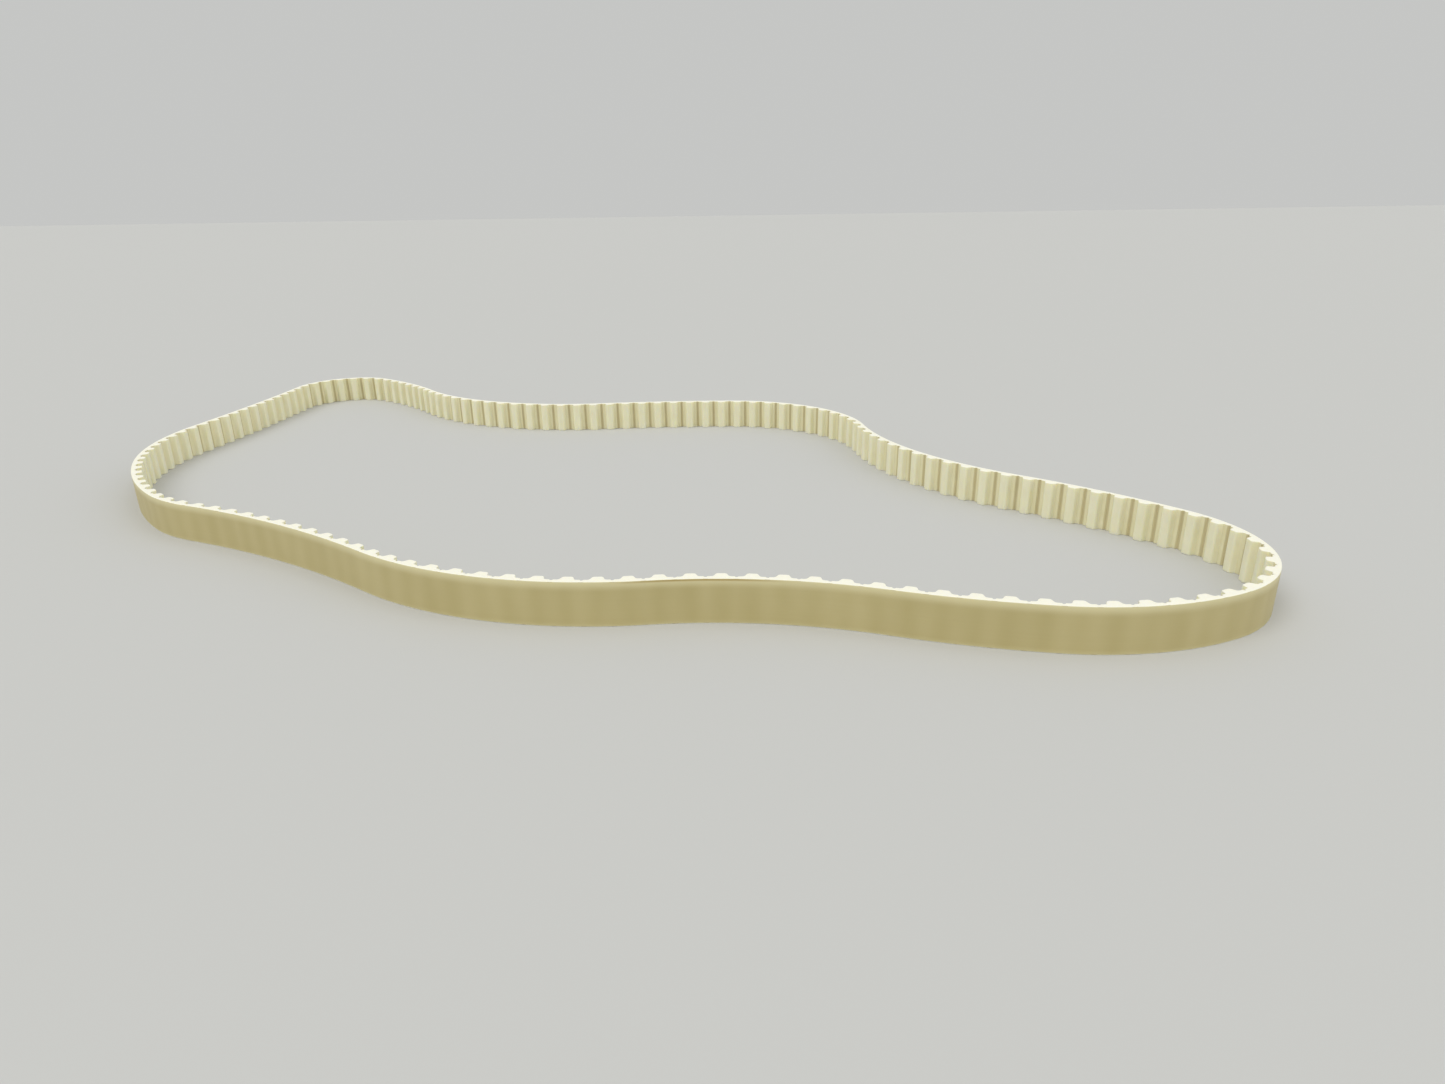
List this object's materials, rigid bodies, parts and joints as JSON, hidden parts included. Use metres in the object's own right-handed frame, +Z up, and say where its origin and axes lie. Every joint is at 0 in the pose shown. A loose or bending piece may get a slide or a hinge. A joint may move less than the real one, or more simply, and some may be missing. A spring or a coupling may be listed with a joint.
{
  "type": "timing belt",
  "caption": "Endless moulded timing belt with trapezoid teeth on the inside and a smooth back, steel cords inside, lying on its edge in a loose wavy loop.",
  "frame": {"origin": "centre of the loop's bounding box, on the plane of the belt's bottom edge", "axes": "+X along the loop's longest extent, +Z up along the belt's width, the teeth pointing to the inside of the loop"},
  "size_m": [0.493, 0.4186, 0.016],
  "materials": {
    "polyurethane": "satin",
    "steel_cord": "satin"
  },
  "bodies": {
    "span_1": {"span_1_toothed_body": "polyurethane", "span_1_left_twist_cord": "steel_cord", "span_1_right_twist_cord": "steel_cord"},
    "span_2": {"span_2_toothed_body": "polyurethane", "span_2_left_twist_cord": "steel_cord", "span_2_right_twist_cord": "steel_cord"},
    "span_3": {"span_3_toothed_body": "polyurethane", "span_3_left_twist_cord": "steel_cord", "span_3_right_twist_cord": "steel_cord"},
    "span_4": {"span_4_toothed_body": "polyurethane", "span_4_left_twist_cord": "steel_cord", "span_4_right_twist_cord": "steel_cord"},
    "span_5": {"span_5_toothed_body": "polyurethane", "span_5_left_twist_cord": "steel_cord", "span_5_right_twist_cord": "steel_cord"},
    "span_6": {"span_6_toothed_body": "polyurethane", "span_6_left_twist_cord": "steel_cord", "span_6_right_twist_cord": "steel_cord"},
    "span_7": {"span_7_toothed_body": "polyurethane", "span_7_left_twist_cord": "steel_cord", "span_7_right_twist_cord": "steel_cord"},
    "span_8": {"span_8_toothed_body": "polyurethane", "span_8_left_twist_cord": "steel_cord", "span_8_right_twist_cord": "steel_cord"}
  },
  "joints": [
    {"name": "flex_1", "type": "hinge", "parent": "span_1", "child": "span_2", "pos_m": [-0.24063, 0.10415, 0.008], "axis": [0, 0, 1], "range_deg": [-20, 20], "stiffness_Nm_per_rad": 0.006},
    {"name": "flex_2", "type": "hinge", "parent": "span_2", "child": "span_3", "pos_m": [-0.19714, -0.07266, 0.008], "axis": [0, 0, 1], "range_deg": [-20, 20], "stiffness_Nm_per_rad": 0.006},
    {"name": "flex_3", "type": "hinge", "parent": "span_3", "child": "span_4", "pos_m": [-0.07126, -0.15272, 0.008], "axis": [0, 0, 1], "range_deg": [-20, 20], "stiffness_Nm_per_rad": 0.006},
    {"name": "flex_4", "type": "hinge", "parent": "span_4", "child": "span_5", "pos_m": [0.13867, -0.20263, 0.008], "axis": [0, 0, 1], "range_deg": [-20, 20], "stiffness_Nm_per_rad": 0.006},
    {"name": "flex_5", "type": "hinge", "parent": "span_5", "child": "span_6", "pos_m": [0.24404, -0.13999, 0.008], "axis": [0, 0, 1], "range_deg": [-20, 20], "stiffness_Nm_per_rad": 0.006},
    {"name": "flex_6", "type": "hinge", "parent": "span_6", "child": "span_7", "pos_m": [0.1396, 0.0033, 0.008], "axis": [0, 0, 1], "range_deg": [-20, 20], "stiffness_Nm_per_rad": 0.006},
    {"name": "flex_7", "type": "hinge", "parent": "span_7", "child": "span_8", "pos_m": [-0.01756, 0.10029, 0.008], "axis": [0, 0, 1], "range_deg": [-20, 20], "stiffness_Nm_per_rad": 0.006}
  ],
  "couplings": [
    {"joint": "flex_2", "follows": "flex_1", "ratio": -1},
    {"joint": "flex_3", "follows": "flex_1", "ratio": 1},
    {"joint": "flex_4", "follows": "flex_1", "ratio": -1},
    {"joint": "flex_5", "follows": "flex_1", "ratio": 1},
    {"joint": "flex_6", "follows": "flex_1", "ratio": -1},
    {"joint": "flex_7", "follows": "flex_1", "ratio": 1}
  ]
}
